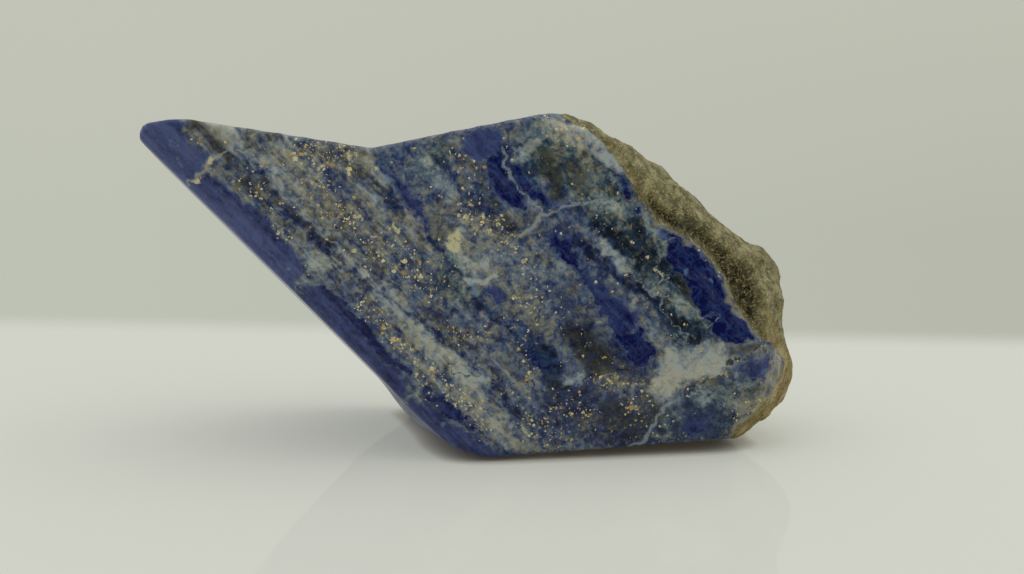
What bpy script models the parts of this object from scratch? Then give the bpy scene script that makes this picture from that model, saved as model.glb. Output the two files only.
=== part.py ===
"""Lapis lazuli freeform: one piece of banded lapis lazuli that stands on a flat base.

The front, left side, top and back were ground and polished. The right end keeps the natural rind of
the rock, lumpy and rough. Places are in millimetres until the mesh is made. +Z is up, the polished
front looks along -Y, and the pointed tip is at -X.
"""

import math

import bmesh
import bpy
from mathutils import Matrix, Vector, noise

MM = 0.001

# Driving dimensions of the sawn blank, before it is ground
BLANK_LOW = Vector((-52.5, -22.0, -2.4))
BLANK_HIGH = Vector((54.0, 22.0, 56.0))

# The base is sawn this far from where places are measured, so the front edge stands a little clear of it
BASE_LEVEL = -0.8

# How far the grinding and polishing rounded the arrises
REMESH_VOXEL = 0.7
ROUNDING_PASSES = 10
ROUNDING_FACTOR = 0.5

# The solid keeps this many faces, most of them on the rough rind
TRIANGLES = 9300

# Faces that meet at more than this are drawn with a sharp edge
SHARP_ANGLE = math.radians(40.0)

# Each ground or sawn face: a point that it passes through, and the way it looks
FRONT_RIDGE_TOP = Vector((-15.1, -15.5, 47.5))
FRONT_RIDGE_LOW = Vector((13.5, -17.6, 11.0))
POLISHED_FACES = {
    "front_left": (FRONT_RIDGE_LOW, (0.017, -0.997, 0.070)),
    "front_right": (FRONT_RIDGE_TOP, (0.127, -0.980, 0.154)),
    "front_foot": ((24.8, -15.6, 14.0), (0.151, -0.985, -0.088)),
    "left_bevel": ((-25.0, -17.0, 29.3), (-0.406, -0.852, -0.332)),
    "left_side": ((-27.5, 14.6, 17.6), (-0.698, -0.200, -0.682)),
    "left_heel_high": ((-3.0, -17.2, 1.9), (-0.460, -0.200, -0.866)),
    "left_heel_low": ((-0.5, -17.3, 0.8), (-0.240, -0.260, -0.935)),
    "front_heel": ((7.0, -17.6, 0.15), (0.074, -0.231, -0.970)),
    "tip_end": ((-50.4, -12.0, 49.5), (-0.950, 0.100, 0.300)),
    "tip_top": ((-46.4, -15.4, 52.6), (-0.036, 0.330, 0.940)),
    "back_main": ((10.0, 17.5, 6.0), (0.060, 0.985, 0.160)),
    "back_wing": ((-34.0, 14.6, 30.0), (-0.330, 0.930, 0.150)),
    "back_foot": ((14.0, 17.0, 4.0), (0.000, 0.850, -0.530)),
}
# The two top faces meet in a shallow notch, which a wedge cuts out
TOP_LEFT_FACE = ((-33.0, -15.3, 51.2), (0.148, 0.330, 0.932))
TOP_RIGHT_FACE = ((0.5, -13.5, 51.25), (-0.215, 0.330, 0.919))
CUTTER_OVERSIZE = 6.0

# The rind, going round the right end from the top to the foot. Each stretch is broken by three faces:
# one that looks nearly forward where the polish ends, one that slopes away, and one round the rim.
# Each row: the way outwards (degrees above +X), then a point of each of the three faces.
RIND_TURNS = (30.0, 60.0, 100.0)
RIND_STRETCHES = {
    "shoulder": (61.0, (20.3, -11.2, 49.0), (22.7, -9.5, 47.6), (24.2, -4.0, 46.2)),
    "upper_slope": (47.0, (30.2, -11.6, 36.4), (34.0, -10.0, 36.7), (36.6, -4.0, 37.4)),
    "ledge": (38.0, (38.5, -11.5, 30.0), (41.0, -10.0, 30.6), (46.6, -4.0, 31.0)),
    "right_end": (8.0, (44.4, -12.3, 20.5), (46.6, -10.0, 22.0), (49.0, -4.0, 22.0)),
    "right_foot": (-22.0, (48.8, -12.6, 12.5), (49.6, -10.0, 10.6), (50.4, -4.0, 9.6)),
    "under_foot": (-48.0, (44.6, -14.5, 5.8), (44.4, -11.0, 4.4), (46.0, -4.0, 3.6)),
}
RIND_BACK_FACES = {
    "rind_back_high": ((36.0, 12.0, 32.0), (0.560, 0.700, 0.440)),
    "rind_back_low": ((45.0, 10.0, 12.0), (0.720, 0.680, -0.140)),
    "rind_back_top": ((22.0, 10.0, 44.0), (0.300, 0.450, 0.840)),
}

# Large lumps and hollows of the rind: centre, radius, and how far the surface moves out
RIND_LUMPS = (
    ((24.6, -5.0, 47.6), 3.2, 0.9),
    ((21.4, -5.5, 48.6), 2.0, -0.7),
    ((17.8, -8.5, 50.2), 2.6, 0.8),
    ((30.5, -6.0, 43.5), 3.0, -1.0),
    ((30.0, 2.0, 43.4), 3.2, -1.0),
    ((40.5, -5.0, 33.3), 3.4, -0.4),
    ((37.0, -10.5, 31.5), 3.0, -0.8),
    ((42.6, -11.0, 24.5), 3.4, -0.9),
    ((46.8, -3.0, 30.0), 3.6, 1.4),
    ((47.6, -2.0, 29.0), 2.4, 0.8),
    ((43.4, -1.0, 33.0), 2.4, 0.7),
    ((50.0, -5.0, 19.0), 3.6, -0.7),
    ((51.0, -5.0, 10.8), 3.4, 0.5),
    ((44.0, 6.0, 20.0), 6.5, 1.2),
    ((38.0, 8.0, 36.0), 5.5, -1.3),
    ((46.0, 4.0, 8.0), 4.5, -0.9),
    ((31.0, 11.0, 39.0), 5.0, 0.9),
)
# The polished foot swells a little where it turns under
POLISHED_SWELLS = (((-9.5, -9.0, 4.5), 5.5, 1.1),)
# Roughness of the rind: size of the lumps, and how far they stand out
RIND_ROUGHNESS = ((9.0, 0.75), (3.6, 0.42), (1.7, 0.20))
# The edge between rind and polish: how soft it is, and how far and how often it wanders
RIND_EDGE_WIDTH = 0.6
RIND_EDGE_WANDER = 0.5
RIND_EDGE_BEND = 2.5


def grind(bm, point, outwards):
    """Takes off what lies beyond the face through point, in millimetres, and closes the cut flat."""
    cut = bmesh.ops.bisect_plane(
        bm,
        geom=bm.verts[:] + bm.edges[:] + bm.faces[:],
        plane_co=Vector(point) * MM,
        plane_no=Vector(outwards).normalized(),
        clear_outer=True,
    )
    rim = [item for item in cut["geom_cut"] if isinstance(item, bmesh.types.BMEdge)]
    if rim:
        bmesh.ops.contextual_create(bm, geom=rim)


def sawn_block(name, faces, collection, oversize=0.0):
    """A box the size of the blank, or larger all round, with every one of the faces ground on it."""
    bm = bmesh.new()
    size = (BLANK_HIGH - BLANK_LOW + Vector((2.0, 2.0, 2.0)) * oversize) * MM
    middle = (BLANK_HIGH + BLANK_LOW) / 2 * MM
    bmesh.ops.create_cube(bm, size=1.0, matrix=Matrix.Translation(middle) @ Matrix.Diagonal((*size, 1.0)))
    for point, outwards in faces:
        grind(bm, point, outwards)
    bmesh.ops.recalc_face_normals(bm, faces=bm.faces)
    mesh = bpy.data.meshes.new(name)
    bm.to_mesh(mesh)
    bm.free()
    block = bpy.data.objects.new(name, mesh)
    collection.objects.link(block)
    return block


def rind_faces():
    """The faces of the rind as (point, outwards), from the stretches and the back."""
    faces = []
    for angle, *points in RIND_STRETCHES.values():
        around = math.radians(angle)
        for turn, point in zip(map(math.radians, RIND_TURNS), points):
            away = math.sin(turn)
            outwards = (math.cos(around) * away, -math.cos(turn), math.sin(around) * away)
            faces.append((point, outwards))
    return faces + list(RIND_BACK_FACES.values())


def notch_cutter(collection):
    """The wedge above both top faces: taking it off leaves the shallow notch between wing and body."""
    flipped = [(point, -Vector(outwards)) for point, outwards in (TOP_LEFT_FACE, TOP_RIGHT_FACE)]
    wedge = sawn_block("notch_cutter", flipped, collection, CUTTER_OVERSIZE)
    wedge.hide_render = True
    wedge.display_type = "WIRE"
    return wedge


def new_collection(name):
    collection = bpy.data.collections.new(name)
    bpy.context.scene.collection.children.link(collection)
    return collection


def baked(stone, name):
    """The stone with its modifiers made real, as a new mesh."""
    graph = bpy.context.evaluated_depsgraph_get()
    mesh = bpy.data.meshes.new_from_object(stone.evaluated_get(graph))
    mesh.name = name
    stone.modifiers.clear()
    stone.data = mesh
    return mesh


def smooth_step(value):
    value = min(max(value, 0.0), 1.0)
    return value * value * (3.0 - 2.0 * value)


def plane_gap(place, faces):
    """How far inside the nearest of the faces the place is, in millimetres."""
    return min((Vector(point) - place).dot(Vector(outwards).normalized()) for point, outwards in faces)


def rind_share(place, rind, polished):
    """1 on the natural rind, 0 on polished stone, with a wandering edge between them."""
    wander = RIND_EDGE_WANDER * noise.noise(place / RIND_EDGE_BEND)
    lead = plane_gap(place, polished) - plane_gap(place, rind) + wander
    return smooth_step(0.5 + lead / RIND_EDGE_WIDTH)


def rise_of(lumps, place):
    """How far the lumps lift the surface at the place, in millimetres."""
    rise = 0.0
    for centre, radius, height in lumps:
        rise += height * math.exp(-((place - Vector(centre)).length / radius) ** 2)
    return rise


def shape_surface(mesh, rind, polished):
    """Moves the vertices along their normals: lumps and grain of the rind, and the swell of the foot."""
    bm = bmesh.new()
    bm.from_mesh(mesh)
    bm.normal_update()
    moves = []
    for vertex in bm.verts:
        place = vertex.co / MM
        rough = sum(height * noise.noise(place / size) for size, height in RIND_ROUGHNESS)
        rough += rise_of(RIND_LUMPS, place)
        rise = rough * rind_share(place, rind, polished) + rise_of(POLISHED_SWELLS, place)
        moves.append(vertex.normal * rise * MM)
    for vertex, move in zip(bm.verts, moves):
        vertex.co += move
    bm.to_mesh(mesh)
    bm.free()


def level_base(mesh):
    """Saws the base off flat, and stands the stone on the floor."""
    bm = bmesh.new()
    bm.from_mesh(mesh)
    grind(bm, (0.0, 0.0, BASE_LEVEL), (0.0, 0.0, -1.0))
    bmesh.ops.recalc_face_normals(bm, faces=bm.faces)
    bmesh.ops.translate(bm, verts=bm.verts, vec=Vector((0.0, 0.0, -BASE_LEVEL * MM)))
    bm.to_mesh(mesh)
    bm.free()


def centre_on_floor(mesh):
    """Puts the middle of the mesh's box over the origin."""
    across = [vertex.co.x for vertex in mesh.vertices]
    deep = [vertex.co.y for vertex in mesh.vertices]
    middle = Vector((min(across) + max(across), min(deep) + max(deep), 0.0)) / 2
    mesh.transform(Matrix.Translation(-middle))


def lapis_material():
    material = bpy.data.materials.new("polished_lapis_lazuli")
    material.use_nodes = True
    shader = material.node_tree.nodes["Principled BSDF"]
    shader.inputs["Base Color"].default_value = (0.045, 0.075, 0.21, 1.0)
    shader.inputs["Roughness"].default_value = 0.25
    shader.inputs["Metallic"].default_value = 0.0
    return material


def build():
    for old in list(bpy.data.objects):
        bpy.data.objects.remove(old, do_unlink=True)
    parts = new_collection("lapis_lazuli_freeform")
    cutters = new_collection("cutters")

    polished = list(POLISHED_FACES.values())
    rind = rind_faces()
    stone = sawn_block("lapis_stone", polished + rind, parts)

    notch = stone.modifiers.new("notch", "BOOLEAN")
    notch.operation = "DIFFERENCE"
    notch.object = notch_cutter(cutters)

    rounding = stone.modifiers.new("closed_skin", "REMESH")
    rounding.mode = "VOXEL"
    rounding.voxel_size = REMESH_VOXEL * MM
    polish = stone.modifiers.new("polish", "SMOOTH")
    polish.factor = ROUNDING_FACTOR
    polish.iterations = ROUNDING_PASSES

    mesh = baked(stone, "rounded_stone")
    shape_surface(mesh, rind, polished + [TOP_RIGHT_FACE])

    fewer = stone.modifiers.new("fewer_faces", "DECIMATE")
    fewer.ratio = TRIANGLES / sum(len(face.vertices) - 2 for face in mesh.polygons)
    fewer.use_collapse_triangulate = True
    mesh = baked(stone, "lapis_stone")
    level_base(mesh)
    centre_on_floor(mesh)

    mesh.shade_smooth()
    mesh.set_sharp_from_angle(angle=SHARP_ANGLE)
    mesh.materials.clear()
    mesh.materials.append(lapis_material())


build()
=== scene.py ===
import math

import bmesh
import bpy
import numpy as np
from mathutils import Matrix, Vector, noise
from mathutils.bvhtree import BVHTree


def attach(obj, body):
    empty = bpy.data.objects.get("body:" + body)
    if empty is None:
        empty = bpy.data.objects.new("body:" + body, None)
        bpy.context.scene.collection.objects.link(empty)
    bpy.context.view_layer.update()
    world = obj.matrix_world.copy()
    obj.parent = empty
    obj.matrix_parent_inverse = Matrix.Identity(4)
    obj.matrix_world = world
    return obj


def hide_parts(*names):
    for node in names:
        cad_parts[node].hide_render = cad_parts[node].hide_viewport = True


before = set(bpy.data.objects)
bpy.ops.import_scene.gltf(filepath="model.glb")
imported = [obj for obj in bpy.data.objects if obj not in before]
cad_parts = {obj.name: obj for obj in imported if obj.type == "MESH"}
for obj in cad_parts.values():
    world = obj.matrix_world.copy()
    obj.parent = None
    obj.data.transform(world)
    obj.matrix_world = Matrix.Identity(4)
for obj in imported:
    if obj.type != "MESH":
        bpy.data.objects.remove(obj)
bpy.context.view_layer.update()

# THE TABLE
# A glossy sheet of opal acrylic, its far edge a little behind the stone, under soft light from all
# round. Behind it hangs a plain grey-beige cloth, too far back to be sharp.
MM = 0.001
TABLE_REACH = 0.9
TABLE_FAR_EDGE = 0.083
TABLE_EDGE_BLUR = 0.017
TABLE_SKEW = 0.086
TABLE_WHITE = "#BDBEB8"
TABLE_GLOW = "#EDEFE4"
TABLE_SHADE = "#B09A78"
SHADE_REACH = 0.003
TABLE_GLOSS = 0.03
TABLE_GLEAM = 1.09
GLOW_SHADED, GLOW_OPEN = 0.06, 0.27
CLOTH_LEFT = "#BEC2B4"
CLOTH_RIGHT = "#B6B9AB"
CLOTH_HIGH = "#C3C4B7"
ROOM_DARK = "#4B4B48"
ROOM_PALE = "#E7E7DF"
ROOM_BEHIND = "#BCBDB3"
ROOM_OVERHEAD = "#CECFCB"
SOFTBOX_SIZE = (0.60, 0.45)
SOFTBOX_PLACE = (0.02, 0.02, 0.50)
SOFTBOX_TILT = math.radians(-2)
SOFTBOX_WATTS = 0.62
SOFTBOX_TINT = "#FFFEFA"


def linear(colour):
    """An sRGB hex colour as linear red, green, blue and alpha."""
    parts = [int(colour[i:i + 2], 16) / 255 for i in (1, 3, 5)]
    return tuple(p / 12.92 if p <= 0.04045 else ((p + 0.055) / 1.055) ** 2.4 for p in parts) + (1.0,)


def add(tree, kind, inputs=None, **settings):
    """Adds a node with its settings. Each input is given a value, or linked to a socket."""
    made = tree.nodes.new(kind)
    for name, value in settings.items():
        setattr(made, name, value)
    for key, value in (inputs or {}).items():
        if isinstance(value, bpy.types.NodeSocket):
            tree.links.new(value, made.inputs[key])
        else:
            made.inputs[key].default_value = value
    return made


bm = bmesh.new()
near = Matrix.Translation((0.0, TABLE_FAR_EDGE + 0.08 - TABLE_REACH, 0.0))
bmesh.ops.create_grid(bm, x_segments=1, y_segments=1, size=TABLE_REACH, matrix=near)
table_mesh = bpy.data.meshes.new("table")
bm.to_mesh(table_mesh)
bm.free()
table = bpy.data.objects.new("table", table_mesh)
bpy.context.scene.collection.objects.link(table)

# Opal acrylic, cast and polished: light spreads inside the sheet, so that it glows a little and its shadows
# stay pale, and its surface gives a faint mirror image. Its glowing is dimmed and browned close to the stone:
# a painted contact shadow.
acrylic = bpy.data.materials.new("opal_acrylic_cast")
acrylic.use_nodes = True
tree = acrylic.node_tree
tree.nodes.clear()
place = add(tree, "ShaderNodeTexCoord")
along = add(tree, "ShaderNodeSeparateXYZ", {0: place.outputs["Object"]})
far = add(tree, "ShaderNodeMath", {
    0: along.outputs["X"], 1: TABLE_SKEW, 2: along.outputs["Y"],
}, operation="MULTIPLY_ADD")
fade = add(tree, "ShaderNodeMapRange", {
    "Value": far.outputs[0], "From Min": TABLE_FAR_EDGE - TABLE_EDGE_BLUR, "From Max": TABLE_FAR_EDGE,
}, interpolation_type="SMOOTHSTEP")
# Painted contact shadow: ambient occlusion within SHADE_REACH of the stone dims the sheet's glowing and tints
# it TABLE_SHADE brown
painted_shadow_ao = add(tree, "ShaderNodeAmbientOcclusion", {"Distance": SHADE_REACH}, samples=16)
glow_and_painted_shadow = add(tree, "ShaderNodeMixRGB", {
    "Fac": painted_shadow_ao.outputs["AO"], "Color1": linear(TABLE_SHADE), "Color2": linear(TABLE_GLOW),
})
strength = add(tree, "ShaderNodeMapRange", {
    "Value": painted_shadow_ao.outputs["AO"], "From Min": 0.20, "From Max": 0.95,
    "To Min": GLOW_SHADED, "To Max": GLOW_OPEN,
})
sheet = add(tree, "ShaderNodeBsdfPrincipled", {
    "Base Color": linear(TABLE_WHITE), "Roughness": TABLE_GLOSS, "IOR": TABLE_GLEAM,
    "Emission Color": glow_and_painted_shadow.outputs[0], "Emission Strength": strength.outputs[0],
})
clear = add(tree, "ShaderNodeBsdfTransparent")
both = add(tree, "ShaderNodeMixShader", {0: fade.outputs[0], 1: sheet.outputs[0], 2: clear.outputs[0]})
add(tree, "ShaderNodeOutputMaterial", {"Surface": both.outputs[0]})
table_mesh.materials.append(acrylic)

# The room: dark low down behind the camera, the cloth behind the table, soft light from overhead
world = bpy.data.worlds.new("studio")
bpy.context.scene.world = world
world.use_nodes = True
tree = world.node_tree
tree.nodes.clear()
way = add(tree, "ShaderNodeTexCoord")
split = add(tree, "ShaderNodeSeparateXYZ", {0: way.outputs["Generated"]})
across = add(tree, "ShaderNodeMapRange", {"Value": split.outputs["X"], "From Min": -0.12, "From Max": 0.14})
rising = add(tree, "ShaderNodeMapRange", {
    "Value": split.outputs["Z"], "From Min": -0.19, "From Max": -0.12, "To Max": 0.7,
})
cloth = add(tree, "ShaderNodeMixRGB", {
    "Fac": across.outputs[0], "Color1": linear(CLOTH_LEFT), "Color2": linear(CLOTH_RIGHT),
})
cloth = add(tree, "ShaderNodeMixRGB", {
    "Fac": rising.outputs[0], "Color1": cloth.outputs[0], "Color2": linear(CLOTH_HIGH),
})
sideways = add(tree, "ShaderNodeMath", {0: split.outputs["X"]}, operation="ABSOLUTE")
forward = add(tree, "ShaderNodeMath", {
    0: split.outputs["Y"], 1: 0.9, 2: sideways.outputs[0],
}, operation="MULTIPLY_ADD")
open_side = add(tree, "ShaderNodeMapRange", {
    "Value": forward.outputs[0], "From Min": -0.55, "From Max": 0.25,
})
room = add(tree, "ShaderNodeMixRGB", {
    "Fac": open_side.outputs[0], "Color1": linear(ROOM_DARK), "Color2": linear(ROOM_PALE),
})
behind = add(tree, "ShaderNodeMapRange", {"Value": split.outputs["Y"], "From Min": 0.70, "From Max": 0.97})
room = add(tree, "ShaderNodeMixRGB", {
    "Fac": behind.outputs[0], "Color1": room.outputs[0], "Color2": linear(ROOM_BEHIND),
})
height = add(tree, "ShaderNodeMapRange", {"Value": split.outputs["Z"], "From Min": 0.30, "From Max": 0.75})
overhead = add(tree, "ShaderNodeMixRGB", {
    "Fac": height.outputs[0], "Color1": room.outputs[0], "Color2": linear(ROOM_OVERHEAD),
})
rays = add(tree, "ShaderNodeLightPath")
shown = add(tree, "ShaderNodeMixRGB", {
    "Fac": rays.outputs["Is Camera Ray"], "Color1": overhead.outputs[0], "Color2": cloth.outputs[0],
})
background = add(tree, "ShaderNodeBackground", {"Color": shown.outputs[0], "Strength": 1.0})
add(tree, "ShaderNodeOutputWorld", {"Surface": background.outputs[0]})

softbox = bpy.data.lights.new("softbox", "AREA")
softbox.shape = "RECTANGLE"
softbox.size, softbox.size_y = SOFTBOX_SIZE
softbox.energy = SOFTBOX_WATTS
softbox.color = linear(SOFTBOX_TINT)[:3]
softbox_object = bpy.data.objects.new("softbox", softbox)
softbox_object.matrix_world = Matrix.Translation(SOFTBOX_PLACE) @ Matrix.Rotation(SOFTBOX_TILT, 4, "X")
bpy.context.scene.collection.objects.link(softbox_object)

# THE CAMERA
# It stands half a metre in front and looks down by twelve degrees, level from side to side.
EYE = Vector((6.40, -523.91, 135.26)) * MM
LOOK_DOWN = math.radians(12.0)
FOCAL_PIXELS = 3380.0
PICTURE = (1024, 574)
SENSOR = 36.0
camera_data = bpy.data.cameras.new("camera")
camera_data.sensor_width = SENSOR
camera_data.lens = FOCAL_PIXELS * SENSOR / PICTURE[0]
camera_data.clip_start = 0.01
camera_data.clip_end = 20.0
camera = bpy.data.objects.new("camera", camera_data)
camera.matrix_world = Matrix.Translation(EYE) @ Matrix.Rotation(math.pi / 2 - LOOK_DOWN, 4, "X")
bpy.context.scene.collection.objects.link(camera)
bpy.context.scene.camera = camera
bpy.context.scene.view_settings.view_transform = "Standard"

# THE STONE'S SURFACE
# Lapis lazuli, sawn to a blank, then ground on the front, left side, top and back and polished. The
# right end is left as natural rind. Its skin is remade evenly here, finer in front where marks show.
SKIN_STEP = 0.58
POLISH_PASSES = 5
POLISH_IN, POLISH_OUT = 0.5, -0.53
FRONT_LIMIT = -0.45


def smoothed(values, low, high):
    """0 at low and 1 at high, with a smooth rise between."""
    share = np.clip((np.asarray(values, dtype=float) - low) / (high - low), 0.0, 1.0)
    return share * share * (3.0 - 2.0 * share)


bm = bmesh.new()
bm.from_mesh(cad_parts["lapis_stone"].data)
bmesh.ops.remove_doubles(bm, verts=bm.verts, dist=1e-6)
solid = BVHTree.FromBMesh(bm)
blank = bpy.data.meshes.new("blank")
bm.to_mesh(blank)
bm.free()
stone = bpy.data.objects.new("lapis_freeform", blank)
bpy.context.scene.collection.objects.link(stone)
even = stone.modifiers.new("even_skin", "REMESH")
even.mode = "VOXEL"
even.voxel_size = SKIN_STEP * MM
skin = bpy.data.meshes.new_from_object(stone.evaluated_get(bpy.context.evaluated_depsgraph_get()))
stone.modifiers.clear()
stone.data = skin
skin.name = "lapis_freeform"

bm = bmesh.new()
bm.from_mesh(skin)
for vertex in bm.verts:
    vertex.co = solid.find_nearest(vertex.co)[0]
for factor in (POLISH_IN, POLISH_OUT) * POLISH_PASSES:
    bmesh.ops.smooth_vert(
        bm, verts=bm.verts, factor=factor, use_axis_x=True, use_axis_y=True, use_axis_z=True,
    )
bm.normal_update()
front = [face for face in bm.faces if face.normal.y < FRONT_LIMIT]
edges = dict.fromkeys(edge for face in front for edge in face.edges)
bmesh.ops.subdivide_edges(bm, edges=list(edges), cuts=1, use_grid_fill=True)
bmesh.ops.triangulate(bm, faces=[face for face in bm.faces if len(face.verts) > 4])
bm.normal_update()
facing = np.array([vertex.normal.dot((vertex.co - EYE).normalized()) for vertex in bm.verts])
smooth_skin = BVHTree.FromBMesh(bm)
bm.to_mesh(skin)
bm.free()

# THE STONE'S LAYERS
# The layers go through the stone from front to back and dip a little towards the back. Each mark is
# named by where it meets the polished front, as the camera sees it, in pixels of the picture.
DIP = math.tan(LOOK_DOWN)
FRONT_DEPTH = -15.3
LAYER_SLANT = 0.22
PIXEL = 1.0 / 6.5
LAYERS_BEND_FROM = -10.0
WAVERS = ((3.4, 0.60), (1.3, 0.85))
FAR_WAVER = (14.0, 0.12)
WAVER_SEED = 4
NOT_IN_A_LENS = -6.0
THIN_MARK_LIMIT = 8.0


def on_front(pixel):
    """Where the camera's line through a pixel meets the stone, as (across, up) in the layers, in mm."""
    across = (pixel[0] - PICTURE[0] / 2) / FOCAL_PIXELS
    up = (PICTURE[1] / 2 - pixel[1]) / FOCAL_PIXELS
    line = camera.matrix_world.to_3x3() @ Vector((across, up, -1.0))
    hit = smooth_skin.ray_cast(EYE, line.normalized())[0]
    if hit is None:
        hit = EYE + line * ((FRONT_DEPTH * MM - EYE.y) / line.y)
    return hit.x / MM, hit.z / MM + DIP * (hit.y / MM - FRONT_DEPTH)


def away(line, spots):
    """How far each spot is from a line through the points, in mm."""
    line = np.asarray(line, dtype=float)
    if len(line) == 1:
        return np.hypot(*(spots - line[0]).T)
    nearest = np.full(len(spots), 1e9)
    for start, end in zip(line[:-1], line[1:]):
        run = end - start
        share = np.clip((spots - start) @ run / max(run @ run, 1e-9), 0.0, 1.0)
        nearest = np.minimum(nearest, np.hypot(*(spots - start - share[:, None] * run).T))
    return nearest


def depth_inside(outline, spots):
    """How far inside a closed outline each spot is, in mm, and negative outside it."""
    outline = np.asarray(outline, dtype=float)
    loop = np.vstack([outline, outline[:1]])
    within = np.zeros(len(spots), dtype=bool)
    for (ax, ay), (bx, by) in zip(loop[:-1], loop[1:]):
        spans = (ay > spots[:, 1]) != (by > spots[:, 1])
        crossing = (bx - ax) * (spots[:, 1] - ay) / (by - ay if by != ay else 1e-9) + ax
        within ^= spans & (spots[:, 0] < crossing)
    return np.where(within, 1.0, -1.0) * away(loop, spots)


places = np.empty(len(skin.vertices) * 3)
skin.vertices.foreach_get("co", places)
places = places.reshape(-1, 3) / MM
straight = np.column_stack([places[:, 0], places[:, 2] + DIP * (places[:, 1] - FRONT_DEPTH)])
behind_front = np.maximum(places[:, 1] - LAYERS_BEND_FROM, 0.0)
spots = straight.copy()
spots[:, 0] += LAYER_SLANT * behind_front
noise.seed_set(WAVER_SEED)
for size, reach in WAVERS:
    waver = np.array([noise.noise_vector(Vector(place) / size) for place in places])
    spots += reach * waver[:, (0, 2)]
waver = np.array([noise.noise_vector(Vector(place) / FAR_WAVER[0]) for place in places])
spots += waver[:, (0, 2)] * (FAR_WAVER[1] * behind_front)[:, None]

# Lenses of nearly pure lazurite: how much milkiness each has (0 deep, 1 milkiest; on the tip and the left
# lenses part of it is a painted sheen), how soft its edge, its outline
LENSES = {
    "tip": (0.8, 1.0, (
        (125, 128), (135, 112), (166, 112), (184, 121), (182, 131), (190, 141), (201, 150), (212, 156),
        (201, 169), (190, 180), (180, 195), (130, 150),
    )),
    "left_long": (0.78, 1.0, (
        (190, 191), (201, 178), (213, 175), (225, 180), (232, 188), (244, 198), (256, 209), (266, 221),
        (275, 233), (287, 245), (299, 252), (305, 262), (305, 271), (300, 281), (297, 291), (280, 300),
        (180, 200),
    )),
    "left_low": (0.5, 1.5, (
        (299, 294), (312, 286), (322, 283), (340, 303), (356, 322), (372, 343), (388, 360), (402, 374),
        (410, 382), (404, 398), (390, 410), (290, 300),
    )),
    "left_core": (0.1, 1.0, (
        (318, 282), (328, 285), (337, 290), (344, 297), (351, 307), (359, 317), (370, 328), (380, 340),
        (390, 352), (401, 364), (411, 371), (414, 377), (408, 379), (397, 371), (382, 360), (368, 346),
        (354, 330), (340, 316), (328, 303), (320, 293),
    )),
    "foot": (0.45, 1.5, (
        (405, 405), (415, 396), (424, 400), (440, 412), (456, 426), (475, 438), (495, 447), (522, 454),
        (500, 470), (400, 460),
    )),
    "foot_core": (0.15, 1.5, (
        (424, 388), (432, 386), (445, 396), (458, 406), (470, 418), (480, 430), (470, 431), (452, 420),
        (436, 406), (425, 397),
    )),
    "stripe": (0.35, 1.5, (
        (378, 158), (386, 166), (394, 174), (403, 182), (413, 194), (423, 207), (431, 221), (434, 232),
        (427, 231), (417, 218), (407, 205), (397, 192), (388, 180), (380, 168),
    )),
    "upper": (0.75, 1.2, (
        (461, 137), (476, 128), (496, 130), (502, 140), (501, 150), (488, 162), (478, 160), (466, 151),
    )),
    "upper_core": (0.28, 1.2, (
        (486, 158), (500, 150), (504, 170), (508, 180), (516, 190), (524, 198), (528, 206), (524, 211),
        (512, 207), (500, 198), (491, 186), (484, 172),
    )),
    "upper_right": (0.2, 1.6, (
        (507, 157), (517, 162), (524, 173), (533, 183), (545, 195), (556, 203), (545, 207), (533, 204),
        (524, 195), (514, 181), (507, 170),
    )),
    "middle_high": (0.15, 1.5, (
        (548, 229), (560, 233), (569, 236), (574, 243), (577, 253), (584, 264), (592, 276), (583, 276),
        (567, 267), (557, 255), (551, 243),
    )),
    "middle": (0.42, 1.8, (
        (575, 268), (583, 264), (593, 275), (605, 285), (617, 293), (626, 302), (636, 314), (640, 326),
        (630, 336), (616, 340), (604, 328), (596, 312), (595, 299), (584, 286),
    )),
    "middle_low": (0.05, 1.2, (
        (611, 326), (628, 330), (640, 326), (645, 335), (653, 345), (655, 357), (648, 367), (634, 365),
        (626, 353), (617, 341),
    )),
    "right": (0.08, 1.0, (
        (657, 230), (665, 229), (669, 233), (674, 231), (678, 237), (682, 243), (688, 245), (698, 249),
        (702, 255), (709, 262), (715, 271), (722, 276), (726, 281), (727, 290), (729, 302), (733, 310),
        (741, 317), (748, 325), (755, 336), (750, 341), (743, 344), (731, 343), (721, 338), (712, 331),
        (709, 321), (702, 314), (697, 307), (692, 297), (688, 288), (685, 281), (678, 274), (671, 267),
        (666, 257), (665, 247), (662, 240),
    )),
    "right_small": (0.15, 1.0, (
        (613, 169), (618, 171), (623, 181), (629, 190), (633, 195), (632, 203), (626, 201), (621, 189),
        (616, 179),
    )),
    "right_bead": (0.15, 1.0, (
        (632, 206), (640, 208), (641, 214), (635, 216), (630, 211),
    )),
    "island": (0.5, 1.2, (
        (485, 281), (495, 283), (502, 290), (506, 300), (501, 306), (492, 300), (485, 290),
    )),
    "teal_left": (0.2, 3.5, (
        (512, 328), (524, 330), (536, 342), (546, 358), (553, 376), (545, 384), (530, 362), (518, 345),
    )),
    "right_low": (0.38, 2.4, (
        (733, 367), (750, 360), (769, 357), (778, 358), (776, 368), (769, 381), (755, 384), (740, 377),
    )),
    "bottom": (0.25, 2.5, (
        (679, 420), (690, 412), (707, 414), (715, 424), (712, 434), (695, 439), (681, 432),
    )),
}
lens_depth = np.full(len(spots), NOT_IN_A_LENS)
milky_and_sheen = np.zeros(len(spots))
for milk_and_sheen, softness, outline in LENSES.values():
    inside = depth_inside([on_front(pixel) for pixel in outline], spots) / softness
    milky_and_sheen = np.where(inside > lens_depth, milk_and_sheen, milky_and_sheen)
    lens_depth = np.maximum(lens_depth, inside)

# The left part of the stone is banded, its layers drawn out into streaks. The right part is mottled.
BANDED = (
    (180, 90), (330, 130), (385, 165), (425, 215), (452, 262), (480, 305), (515, 350), (548, 395), (560, 470),
    (420, 470), (100, 150),
)
banded = smoothed(depth_inside([on_front(pixel) for pixel in BANDED], spots), -2.0, 2.0)

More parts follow.
